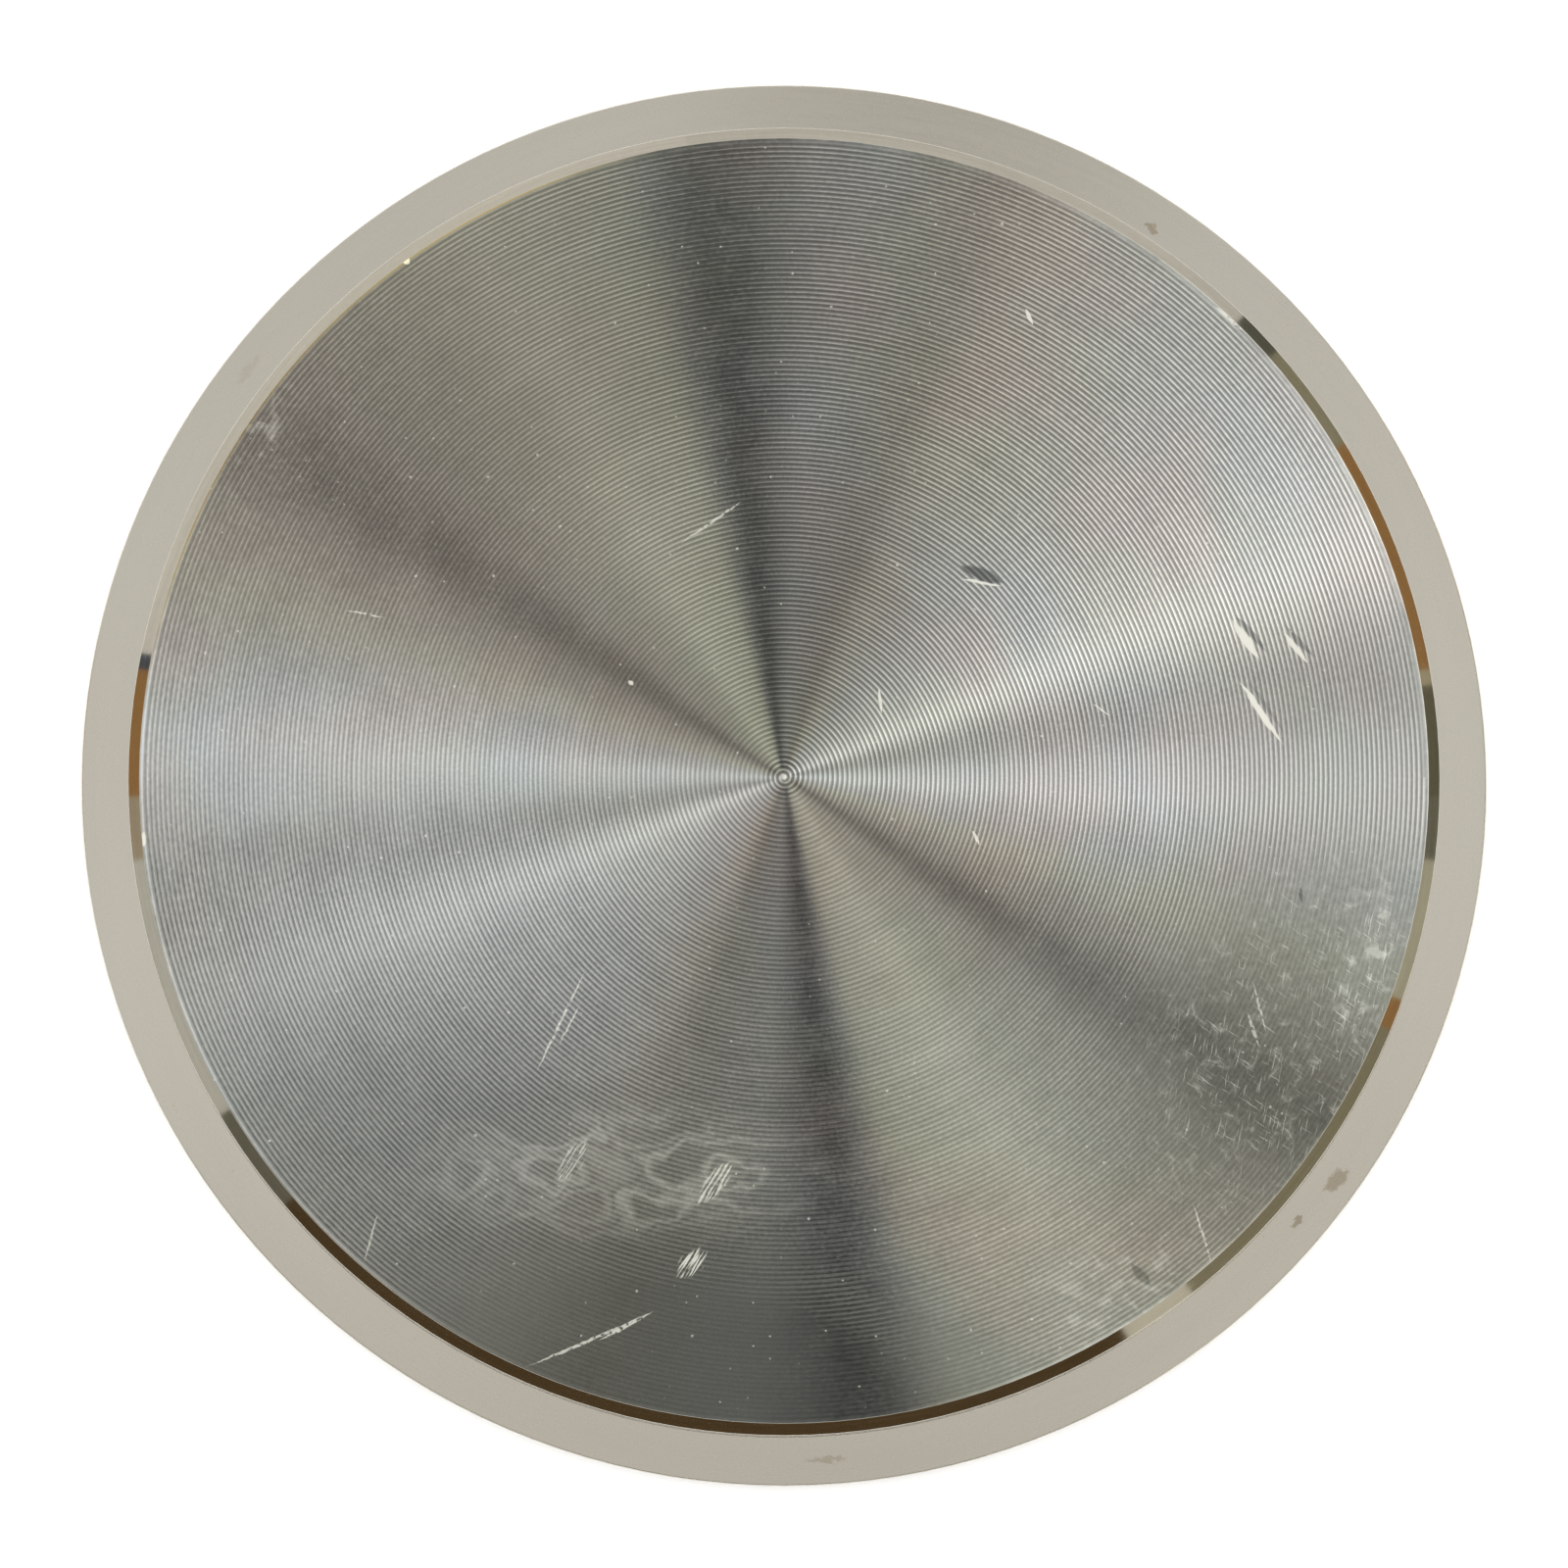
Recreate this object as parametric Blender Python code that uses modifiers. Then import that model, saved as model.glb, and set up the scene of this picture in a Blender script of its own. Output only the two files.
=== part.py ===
"""Blind flange: a solid turned end cap for a sanitary clamp joint.

Metres, +Z up. The disc lies on its sealing side with its turned outer face up, and the
origin is the centre of the sealing side. The whole flange is one turned piece of steel.
"""

import math

import bmesh
import bpy

# Clamp flange, to the 91 mm size of the sanitary clamp series
RIM_DIAMETER = 0.0910
RIM_THICKNESS = 0.00285
RIM_EDGE_RADIUS = 0.0004
FLANK_ANGLE = math.radians(20)

# Raised hub that carries the turned outer face
THICKNESS = 0.00635
HUB_DIAMETER = 0.0846
HUB_CHAMFER = 0.0008
HUB_FILLET = 0.0004

# Round-bottomed gasket groove in the sealing side
GROOVE_DIAMETER = 0.0835
GROOVE_WIDTH = 0.0032
GROOVE_DEPTH = 0.0015

# Resolution of the turned mesh
TURN_STEPS = 120
EDGE_STEPS = 3
GROOVE_STEPS = 8
MERGE_DISTANCE = 0.00001
SHARP_ANGLE = math.radians(25)

COLLECTION_NAME = "blind_flange"
NODE_NAME = "blank_disc"
STEEL_COLOUR = (0.56, 0.55, 0.51, 1.0)
STEEL_ROUGHNESS = 0.32


def clear_scene():
    for obj in list(bpy.data.objects):
        bpy.data.objects.remove(obj)


def arc(centre, radius, start, end, steps):
    """Points (r, z) on a circle about centre, from angle start to angle end."""
    points = []
    for step in range(steps + 1):
        angle = start + (end - start) * step / steps
        points.append((centre[0] + radius * math.cos(angle), centre[1] + radius * math.sin(angle)))
    return points


def hub_profile():
    """The turned face, its 45 degree chamfer and the hub's wall down to the fillet."""
    hub_radius = HUB_DIAMETER / 2
    return [
        (0.0, THICKNESS),
        (hub_radius - HUB_CHAMFER, THICKNESS),
        (hub_radius, THICKNESS - HUB_CHAMFER),
    ]


def flank_profile():
    """The fillet at the hub's foot, the 20 degree clamp flank and the rounded rim."""
    hub_radius = HUB_DIAMETER / 2
    rim_radius = RIM_DIAMETER / 2
    flank_foot = RIM_THICKNESS
    flank_top = flank_foot + (rim_radius - hub_radius) * math.tan(FLANK_ANGLE)

    # The fillet touches the wall and the flank, so its centre stands off both by its radius.
    fillet_centre = (
        hub_radius + HUB_FILLET,
        flank_top - HUB_FILLET * math.tan(FLANK_ANGLE) + HUB_FILLET / math.cos(FLANK_ANGLE),
    )
    fillet = arc(fillet_centre, HUB_FILLET, math.pi, 1.5 * math.pi - FLANK_ANGLE, EDGE_STEPS)

    # The rim's upper round runs from the flank's normal to the straight edge.
    upper_centre = (
        rim_radius - RIM_EDGE_RADIUS,
        flank_foot + RIM_EDGE_RADIUS * math.tan(FLANK_ANGLE) - RIM_EDGE_RADIUS / math.cos(FLANK_ANGLE),
    )
    upper_round = arc(upper_centre, RIM_EDGE_RADIUS, math.pi / 2 - FLANK_ANGLE, 0.0, EDGE_STEPS)
    lower_centre = (rim_radius - RIM_EDGE_RADIUS, RIM_EDGE_RADIUS)
    lower_round = arc(lower_centre, RIM_EDGE_RADIUS, 0.0, -math.pi / 2, EDGE_STEPS)
    return fillet + upper_round + lower_round


def groove_profile():
    """The sealing side, from its outer land through the gasket groove to the centre."""
    half_width = GROOVE_WIDTH / 2
    radius = (half_width**2 + GROOVE_DEPTH**2) / (2 * GROOVE_DEPTH)
    centre = (GROOVE_DIAMETER / 2, GROOVE_DEPTH - radius)
    lip = math.atan2(radius - GROOVE_DEPTH, half_width)
    return arc(centre, radius, lip, math.pi - lip, GROOVE_STEPS) + [(0.0, 0.0)]


def turned(name, profile, collection):
    """A closed body of revolution about Z from a profile that runs down its outer side."""
    outline = bmesh.new()
    corners = [outline.verts.new((radius, 0.0, height)) for radius, height in profile]
    for start, end in zip(corners, corners[1:]):
        outline.edges.new((start, end))
    mesh = bpy.data.meshes.new(name)
    outline.to_mesh(mesh)
    outline.free()

    body = bpy.data.objects.new(name, mesh)
    collection.objects.link(body)
    screw = body.modifiers.new("Turn", "SCREW")
    screw.steps = TURN_STEPS
    screw.render_steps = TURN_STEPS
    screw.use_merge_vertices = True
    screw.merge_threshold = MERGE_DISTANCE

    graph = bpy.context.evaluated_depsgraph_get()
    body.data = bpy.data.meshes.new_from_object(body.evaluated_get(graph))
    body.modifiers.clear()
    body.data.name = name
    bpy.data.meshes.remove(mesh)
    body.data.shade_smooth()
    body.data.set_sharp_from_angle(angle=SHARP_ANGLE)
    return body


def turned_steel():
    """Bare stainless steel, as it comes off the lathe."""
    material = bpy.data.materials.new("turned_steel")
    material.use_nodes = True
    shader = material.node_tree.nodes["Principled BSDF"]
    shader.inputs["Base Color"].default_value = STEEL_COLOUR
    shader.inputs["Metallic"].default_value = 1.0
    shader.inputs["Roughness"].default_value = STEEL_ROUGHNESS
    material.diffuse_color = STEEL_COLOUR
    return material


def main():
    clear_scene()
    collection = bpy.data.collections.new(COLLECTION_NAME)
    bpy.context.scene.collection.children.link(collection)
    disc = turned(NODE_NAME, hub_profile() + flank_profile() + groove_profile(), collection)
    disc.data.materials.append(turned_steel())


main()
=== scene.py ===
# %% [markdown]
# # A turned steel blind flange
#
# This lesson dresses a blind flange for a sanitary clamp joint: one solid disc of stainless steel,
# faced on a lathe and never polished. The frame below comes from the CAD model and fixes every
# size. The lesson then builds one finer disc over it, with the tool's spiral really cut into the
# face, and gives each turned surface its own finish.

# %% Load the frame
import math

import bmesh
import bpy
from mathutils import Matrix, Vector, noise


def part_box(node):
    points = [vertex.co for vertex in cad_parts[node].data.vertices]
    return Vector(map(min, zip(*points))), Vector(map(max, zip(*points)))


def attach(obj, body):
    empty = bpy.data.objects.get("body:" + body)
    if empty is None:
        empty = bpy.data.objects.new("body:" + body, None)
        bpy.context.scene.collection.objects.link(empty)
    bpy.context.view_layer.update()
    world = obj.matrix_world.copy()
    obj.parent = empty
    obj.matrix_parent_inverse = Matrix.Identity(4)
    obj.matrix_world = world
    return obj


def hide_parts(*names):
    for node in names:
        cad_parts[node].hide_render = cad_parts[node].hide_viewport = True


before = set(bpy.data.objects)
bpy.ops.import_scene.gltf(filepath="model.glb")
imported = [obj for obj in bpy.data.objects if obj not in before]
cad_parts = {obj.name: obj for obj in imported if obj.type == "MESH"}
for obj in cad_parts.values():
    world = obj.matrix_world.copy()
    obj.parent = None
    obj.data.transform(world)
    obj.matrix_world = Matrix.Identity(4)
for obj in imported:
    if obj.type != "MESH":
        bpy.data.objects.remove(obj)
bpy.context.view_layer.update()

MM = 0.001
DISC = "blank_disc"
cad_low, cad_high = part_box(DISC)
print("disc, mm:", [round(side / MM, 2) for side in cad_high - cad_low])

# %% [markdown]
# ## Reading the disc's main radii
#
# The hub and its chamfer are too fine for a box to tell, so they are read from the frame's own
# points: the widest point of the top plane is the face's edge, and the widest one in the upper
# quarter is the hub. The visual disc then follows the CAD model if that is ever resized.

# %% Measure the face, hub and rim
def widest(lowest_height):
    """The largest radius among the CAD disc's points above a height."""
    points = [v.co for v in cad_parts[DISC].data.vertices]
    return max(p.xy.length for p in points if p.z > lowest_height)


HUB_BAND_START = 0.75
TOP_PLANE_TOLERANCE = 0.01 * MM
THICKNESS = cad_high.z
RIM_RADIUS = cad_high.x
HUB_RADIUS = widest(HUB_BAND_START * THICKNESS)
FACE_RADIUS = widest(THICKNESS - TOP_PLANE_TOLERANCE)
CHAMFER = HUB_RADIUS - FACE_RADIUS
print("face, hub and rim radius, mm:", [round(r / MM, 3) for r in (FACE_RADIUS, HUB_RADIUS, RIM_RADIUS)])

# %% [markdown]
# ## The camera
#
# A product shot of a flat part is taken from almost straight above. Here the lens hangs a few
# degrees towards the near edge, so the raised face sits a hair higher in the picture than the
# rim. The distance is long, so that every circle of the disc stays as good as round.

# %% Place the camera
CAMERA_DISTANCE = 0.62
CAMERA_LEAN = math.radians(4.5)
RIM_SHARE_OF_FRAME = 0.8934
SENSOR = 36.0
AIM_HEIGHT = 0.13 * THICKNESS
camera_y = -math.sin(CAMERA_LEAN) * CAMERA_DISTANCE
camera_z = math.cos(CAMERA_LEAN) * CAMERA_DISTANCE + AIM_HEIGHT

camera_data = bpy.data.cameras.new("camera")
camera_data.sensor_width = SENSOR
camera_data.lens = SENSOR * RIM_SHARE_OF_FRAME * CAMERA_DISTANCE / (2 * RIM_RADIUS)
camera = bpy.data.objects.new("camera", camera_data)
camera.location = (0, camera_y, camera_z)
camera.rotation_euler = (CAMERA_LEAN, 0, 0)
bpy.context.scene.collection.objects.link(camera)
bpy.context.scene.camera = camera
print("lens, mm:", round(camera_data.lens, 1), "camera height, mm:", round(camera_z / MM))

# %% [markdown]
# ## Shader sums in plain Python
#
# Node graphs for metal are mostly sums on numbers. This class wraps one output socket, so that
# `1 - mask * 0.3` adds the Math nodes by itself. Anything else, such as a noise texture or a
# colour mix, goes through `node`.

# %% A socket that can be added and multiplied
class Signal:
    """One output socket of a node tree."""

    def __init__(self, tree, socket):
        self.tree = tree
        self.socket = socket

    def math(self, operation, first, second=0.0, clamp=False):
        settings = {"operation": operation, "use_clamp": clamp}
        return node(self.tree, "ShaderNodeMath", settings, {0: first, 1: second})

    def __add__(self, other):
        return self.math("ADD", self, other)

    def __radd__(self, other):
        return self.math("ADD", other, self)

    def __sub__(self, other):
        return self.math("SUBTRACT", self, other)

    def __rsub__(self, other):
        return self.math("SUBTRACT", other, self)

    def __mul__(self, other):
        return self.math("MULTIPLY", self, other)

    def __rmul__(self, other):
        return self.math("MULTIPLY", other, self)

    def __truediv__(self, other):
        return self.math("DIVIDE", self, other)

    def fraction(self):
        return self.math("FRACT", self)

    def size(self):
        return self.math("ABSOLUTE", self)

    def clamped(self):
        return self.math("ADD", self, 0.0, clamp=True)

    def above(self, threshold, sharpness):
        """0 up to a threshold, then rising to 1 the faster, the larger the sharpness."""
        return ((self - threshold) * sharpness).clamped()

    def strongest(self, other):
        return self.math("MAXIMUM", self, other)


def node(tree, kind, settings=None, sockets=None, output=0):
    """Adds one node. Its settings go first, because some of them change its sockets."""
    made = tree.nodes.new(kind)
    for name, value in (settings or {}).items():
        setattr(made, name, value)
    for name, value in (sockets or {}).items():
        if isinstance(value, Signal):
            tree.links.new(value.socket, made.inputs[name])
        else:
            made.inputs[name].default_value = value
    return Signal(tree, made.outputs[output])


def vector_math(tree, operation, sockets, output=0):
    """A Vector Math node, which works on three numbers at once."""
    return node(tree, "ShaderNodeVectorMath", {"operation": operation}, sockets, output)


# %% [markdown]
# ## Floor and soft light
#
# The floor and the room are the same pale white, so the disc seems to lie on paper. One large
# soft light hangs overhead. It is kept out of the reflections, because bright metal would show
# it as a hard square.

# %% Floor, room and soft light
FLOOR_SIZE = 6.0
FLOOR_GAP = 0.02 * MM
ROOM_COLOUR = (1.0, 0.985, 0.955, 1.0)
ROOM_BRIGHTNESS = 0.92
PAPER_WHITE = (0.93, 0.93, 0.93, 1)
SOFTBOX_SIZE = 1.6
SOFTBOX_HEIGHT = 1.5
SOFTBOX_POWER = 22.0

stage = bpy.data.collections.new("stage")
bpy.context.scene.collection.children.link(stage)


def stage_piece(name, form, material):
    """Turns a bmesh into a piece of the stage."""
    mesh = bpy.data.meshes.new(name)
    form.to_mesh(mesh)
    form.free()
    mesh.materials.append(material)
    piece = bpy.data.objects.new(name, mesh)
    stage.objects.link(piece)
    return piece


floor_material = bpy.data.materials.new("pale_floor")
floor_material.use_nodes = True
floor_shader = floor_material.node_tree.nodes["Principled BSDF"]
floor_shader.inputs["Base Color"].default_value = PAPER_WHITE
floor_shader.inputs["Roughness"].default_value = 0.9
floor_shader.inputs["Specular IOR Level"].default_value = 0.0
floor_form = bmesh.new()
bmesh.ops.create_grid(floor_form, x_segments=1, y_segments=1, size=FLOOR_SIZE / 2)
floor = stage_piece("floor", floor_form, floor_material)
floor.location.z = -FLOOR_GAP

world = bpy.data.worlds.new("soft_room")
world.use_nodes = True
background = world.node_tree.nodes["Background"]
background.inputs["Color"].default_value = ROOM_COLOUR
background.inputs["Strength"].default_value = ROOM_BRIGHTNESS
bpy.context.scene.world = world
bpy.context.scene.view_settings.view_transform = "Standard"

softbox_data = bpy.data.lights.new("softbox", "AREA")
softbox_data.shape = "SQUARE"
softbox_data.size = SOFTBOX_SIZE
softbox_data.energy = SOFTBOX_POWER
softbox = bpy.data.objects.new("softbox", softbox_data)
softbox.location = (0, 0, SOFTBOX_HEIGHT)
softbox.visible_glossy = False
softbox.visible_camera = False
stage.objects.link(softbox)

# %% [markdown]
# ## The reflection card overhead
#
# A faced disc is a fan of tiny mirrors: at each angle round the axis it shows only what hangs
# above it in the plane through that angle. So its bright and dark wedges are the room's lamps,
# windows and gaps, sorted by direction. The plane reaches both ways, so opposite sides of the disc
# show the same things, and the wedges need only half a turn. What tells the two sides apart is
# that the room is brighter on one side, so the whole card grows brighter that way. Only
# reflections see the card, and it is centred where the camera would see itself.

# %% Cards that only reflections see
CARD_HEIGHT = 0.20
CARD_RADIUS = 0.165
CARD_SEGMENTS = 64
HALF_TURN_DEGREES = 180
FULL_TURN_DEGREES = 360
FULL_TURN = 2 * math.pi


def share_of_turn(tree, coordinates):
    """Angle round the vertical axis, as a share of a full turn from 0 to 1."""
    x = node(tree, "ShaderNodeSeparateXYZ", {}, {0: coordinates}, "X")
    y = node(tree, "ShaderNodeSeparateXYZ", {}, {0: coordinates}, "Y")
    return x.math("ARCTAN2", 0 - y, 0 - x) / FULL_TURN + 0.5


def wedge_material(name, span, wedges, interpolation, skew=(0, 0, 0)):
    """A glowing material with one colour stop per (azimuth in degrees, colour).

    The wedges repeat after span degrees. The skew is how much brighter it grows per metre.
    """
    material = bpy.data.materials.new(name)
    material.use_nodes = True
    tree = material.node_tree
    tree.nodes.clear()
    coordinates = node(tree, "ShaderNodeTexCoord", output="Object")
    place = (share_of_turn(tree, coordinates) * (FULL_TURN_DEGREES / span)).fraction()
    ramp = tree.nodes.new("ShaderNodeValToRGB")
    ramp.color_ramp.interpolation = interpolation
    stops = ramp.color_ramp.elements
    while len(stops) > 1:
        stops.remove(stops[-1])
    stops[0].position = wedges[0][0] / span
    stops[0].color = (*wedges[0][1], 1)
    for azimuth, colour in wedges[1:]:
        stops.new(azimuth / span).color = (*colour, 1)
    tree.links.new(place.socket, ramp.inputs[0])
    brighter = vector_math(tree, "DOT_PRODUCT", {0: coordinates, 1: skew}, "Value")
    colours = Signal(tree, ramp.outputs[0])
    glow = node(tree, "ShaderNodeEmission", {}, {"Color": colours, "Strength": 1 + brighter})
    out = tree.nodes.new("ShaderNodeOutputMaterial")
    tree.links.new(glow.socket, out.inputs["Surface"])
    return material


def only_reflections(piece):
    """Hides a piece of the stage from everything but mirror-like metal."""
    piece.visible_camera = False
    piece.visible_diffuse = False
    piece.visible_shadow = False
    piece.visible_transmission = False


def lit(brightness, tint):
    """A wedge's colour: its brightness times the tint of the lamp or wall behind it."""
    return tuple(brightness * share for share in tint)


DAYLIGHT = (0.97, 1.00, 1.06)
SKY = (0.95, 1.01, 1.10)
LEAFY = (0.98, 1.00, 0.90)
BLUSH = (1.01, 0.985, 0.94)
OVERHEAD_WEDGES = [
    (0, lit(0.82, SKY)),
    (4, lit(0.72, SKY)),
    (7, lit(0.54, DAYLIGHT)),
    (12, lit(0.51, DAYLIGHT)),
    (16, lit(0.68, DAYLIGHT)),
    (19, lit(0.86, DAYLIGHT)),
    (22, lit(0.97, DAYLIGHT)),
    (28, lit(0.77, DAYLIGHT)),
    (36, lit(0.63, DAYLIGHT)),
    (50, lit(0.50, DAYLIGHT)),
    (64, lit(0.41, BLUSH)),
    (71, lit(0.27, BLUSH)),
    (87, lit(0.28, DAYLIGHT)),
    (92, lit(0.18, DAYLIGHT)),
    (96, lit(0.08, SKY)),
    (98.5, lit(0.08, SKY)),
    (102, lit(0.22, DAYLIGHT)),
    (106, lit(0.45, LEAFY)),
    (120, lit(0.57, LEAFY)),
    (129, lit(0.45, LEAFY)),
    (140, lit(0.37, BLUSH)),
    (144, lit(0.23, BLUSH)),
    (148, lit(0.21, BLUSH)),
    (152, lit(0.35, BLUSH)),
    (157, lit(0.43, BLUSH)),
    (161, lit(0.54, LEAFY)),
    (168, lit(0.59, DAYLIGHT)),
    (172, lit(0.68, DAYLIGHT)),
    (177, lit(0.90, SKY)),
    (180, lit(0.82, SKY)),
]
SKEW_AZIMUTH = math.radians(48)
SKEW = 0.84 / CARD_RADIUS
skew_direction = (SKEW * math.cos(SKEW_AZIMUTH), SKEW * math.sin(SKEW_AZIMUTH), 0)
card_form = bmesh.new()
bmesh.ops.create_circle(card_form, cap_ends=True, segments=CARD_SEGMENTS, radius=CARD_RADIUS)
overhead_wedges = wedge_material(
    "overhead_wedges", HALF_TURN_DEGREES, OVERHEAD_WEDGES, "LINEAR", skew_direction
)
overhead_card = stage_piece("overhead_card", card_form, overhead_wedges)
overhead_card.location = (0, CARD_HEIGHT * math.tan(CAMERA_LEAN), CARD_HEIGHT)
only_reflections(overhead_card)
print("stops in the overhead card:", len(OVERHEAD_WEDGES))

# %% [markdown]
# The clamp flank leans outward by 20 degrees, so it mirrors the room 40 degrees off the zenith.
# A shallow cone of card stands there, white but for a duller patch behind the disc.

# %% The ceiling ring for the flank
CEILING = (1.0, 0.986, 0.956)
WARM_CEILING = (1.0, 0.975, 0.93)
CEILING_RING = [
    (0, lit(0.96, CEILING)),
    (58, lit(0.86, CEILING)),
    (68, lit(0.68, BLUSH)),
    (80, lit(0.64, BLUSH)),
    (91, lit(0.70, BLUSH)),
    (98, lit(0.88, CEILING)),
    (120, lit(0.83, CEILING)),
    (188, lit(0.97, CEILING)),
    (230, lit(0.88, WARM_CEILING)),
    (275, lit(0.82, WARM_CEILING)),
    (330, lit(0.89, WARM_CEILING)),
    (360, lit(0.96, CEILING)),
]
RING_TOP_HEIGHT = 0.30
RING_FOOT_HEIGHT = 0.16
RING_TOP_RADIUS = 0.23
RING_FLARE = 1.55
RING_SEGMENTS = 96
ring_form = bmesh.new()
bmesh.ops.create_circle(ring_form, segments=RING_SEGMENTS, radius=RING_TOP_RADIUS)
bmesh.ops.translate(ring_form, vec=(0, 0, RING_TOP_HEIGHT), verts=ring_form.verts[:])
lowered = bmesh.ops.extrude_edge_only(ring_form, edges=ring_form.edges[:])["geom"]
lowered = [g for g in lowered if isinstance(g, bmesh.types.BMVert)]
bmesh.ops.scale(ring_form, vec=(RING_FLARE, RING_FLARE, 1), verts=lowered)
bmesh.ops.translate(ring_form, vec=(0, 0, RING_FOOT_HEIGHT - RING_TOP_HEIGHT), verts=lowered)
ceiling_colours = wedge_material("ceiling_colours", FULL_TURN_DEGREES, CEILING_RING, "LINEAR")
ceiling_ring = stage_piece("ceiling_ring", ring_form, ceiling_colours)
only_reflections(ceiling_ring)
print("stops in the ceiling ring:", len(CEILING_RING))

# %% [markdown]
# The 45 degree chamfer looks sideways, so it mirrors a thin strip of the horizon: dark furniture
# near the camera, brown wood to both sides, and the pale table at the back. A low band round the
# disc holds those.

# %% The horizon band
WOOD = (0.40, 0.22, 0.085)
SHADE = (0.10, 0.065, 0.030)
OLIVE = (0.30, 0.27, 0.18)
PAPER = (0.76, 0.735, 0.685)
BRIGHT_PAPER = (0.85, 0.82, 0.76)
HORIZON_BAND = [
    (0, (0.16, 0.15, 0.10)),
    (9, (0.50, 0.44, 0.30)),
    (11, WOOD),
    (31, (0.35, 0.32, 0.22)),
    (41, (0.14, 0.14, 0.11)),
    (45.5, PAPER),
    (98, BRIGHT_PAPER),
    (166, (0.10, 0.11, 0.14)),
    (168.5, WOOD),
    (179, (0.48, 0.40, 0.29)),
    (185, (0.66, 0.65, 0.59)),
    (209, (0.18, 0.17, 0.13)),
    (219, SHADE),
    (301.5, (0.72, 0.68, 0.56)),
    (308.5, OLIVE),
    (338, WOOD),
    (340.5, (0.55, 0.52, 0.40)),
    (354, (0.20, 0.19, 0.14)),
]
BAND_RADIUS = 0.066
BAND_HEIGHT = 0.010
band_form = bmesh.new()
bmesh.ops.create_circle(band_form, segments=RING_SEGMENTS, radius=BAND_RADIUS)
raised = bmesh.ops.extrude_edge_only(band_form, edges=band_form.edges[:])["geom"]
raised = [g for g in raised if isinstance(g, bmesh.types.BMVert)]
bmesh.ops.translate(band_form, vec=(0, 0, BAND_HEIGHT), verts=raised)
horizon_colours = wedge_material("horizon_colours", FULL_TURN_DEGREES, HORIZON_BAND, "CONSTANT")
horizon_band = stage_piece("horizon_band", band_form, horizon_colours)
only_reflections(horizon_band)
print("strips in the horizon band:", len(HORIZON_BAND))

# %% [markdown]
# ## The disc's section
#
# A lathe makes a body of revolution, so the disc starts as half its section: a chain of points
# from the pip at the centre of the face, out over the chamfer and the clamp flank, and back under
# the sealing side. Corners are left sharp here and get their small rounds in the next cell.

# %% Draw the half section
FACING_TURNS = 129
RINGS_PER_TURN = 4
PIP_RADIUS = 0.40 * MM
PIP_DEPTH = 0.03 * MM
PIP_SIDE = 0.35 * PIP_RADIUS
PIP_HOLLOW = 0.005 * MM
FLANK_ANGLE = math.radians(20)
RIM_THICKNESS = 0.45 * THICKNESS
GASKET_RADIUS = 41.75 * MM
GASKET_HALF_WIDTH = 1.6 * MM
GASKET_DEPTH = 1.5 * MM
GASKET_FLOOR_SHARE = 0.55

EDGE_BREAK = 0.03 * MM
SPIRAL_END = FACE_RADIUS - EDGE_BREAK
FEED = (SPIRAL_END - PIP_RADIUS) / (FACING_TURNS + 1)
RING_STEP = FEED / RINGS_PER_TURN
last_ring = SPIRAL_END - FEED - RING_STEP
flank_top = RIM_THICKNESS + (RIM_RADIUS - HUB_RADIUS) * math.tan(FLANK_ANGLE)
print("feed, mm a turn:", round(FEED / MM, 4), "flank top, mm:", round(flank_top / MM, 3))

section = bmesh.new()


def line_to(start, radius, height):
    """Extrudes the section's last point to the next one."""
    extruded = bmesh.ops.extrude_vert_indiv(section, verts=[start])
    point = extruded["verts"][0]
    point.co = (radius, 0, height)
    return point


HUB_FOOT = (HUB_RADIUS, flank_top)
CHAMFER_FOOT = (HUB_RADIUS, THICKNESS - CHAMFER)
FACE_EDGE = (FACE_RADIUS, THICKNESS)
RIM_TOP = (RIM_RADIUS, RIM_THICKNESS)
RIM_FOOT = (RIM_RADIUS, 0)
FLOOR_HALF_WIDTH = GASKET_FLOOR_SHARE * GASKET_HALF_WIDTH
GROOVE_LIPS = [(GASKET_RADIUS + side * GASKET_HALF_WIDTH, 0) for side in (1, -1)]
GROOVE_FLOOR = [(GASKET_RADIUS + side * FLOOR_HALF_WIDTH, GASKET_DEPTH) for side in (1, -1)]
GASKET_GROOVE = [GROOVE_LIPS[0], *GROOVE_FLOOR, GROOVE_LIPS[1]]

pip = section.verts.new((0, 0, THICKNESS - PIP_HOLLOW))
pip_side = line_to(pip, PIP_SIDE, THICKNESS - PIP_DEPTH)
first_ring_point = line_to(pip_side, PIP_RADIUS, THICKNESS)
end = last_ring_point = line_to(first_ring_point, last_ring, THICKNESS)
for corner in (FACE_EDGE, CHAMFER_FOOT, HUB_FOOT, RIM_TOP, RIM_FOOT, *GASKET_GROOVE):
    end = line_to(end, *corner)
line_to(end, 0, 0)

facing_line = next(e for e in first_ring_point.link_edges if last_ring_point in e.verts)
bmesh.ops.bisect_edges(section, edges=[facing_line], cuts=RINGS_PER_TURN * FACING_TURNS - 2)
print("points in the section:", len(section.verts))

# %% [markdown]
# Every corner of the section gets its real round while it is still a chain of points, which is
# far easier than rounding rings later. The face's edge and the chamfer's foot keep only the hair
# of a round that a file leaves; the hub's foot, the rim and the gasket groove get the tool's own
# radius.

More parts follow.
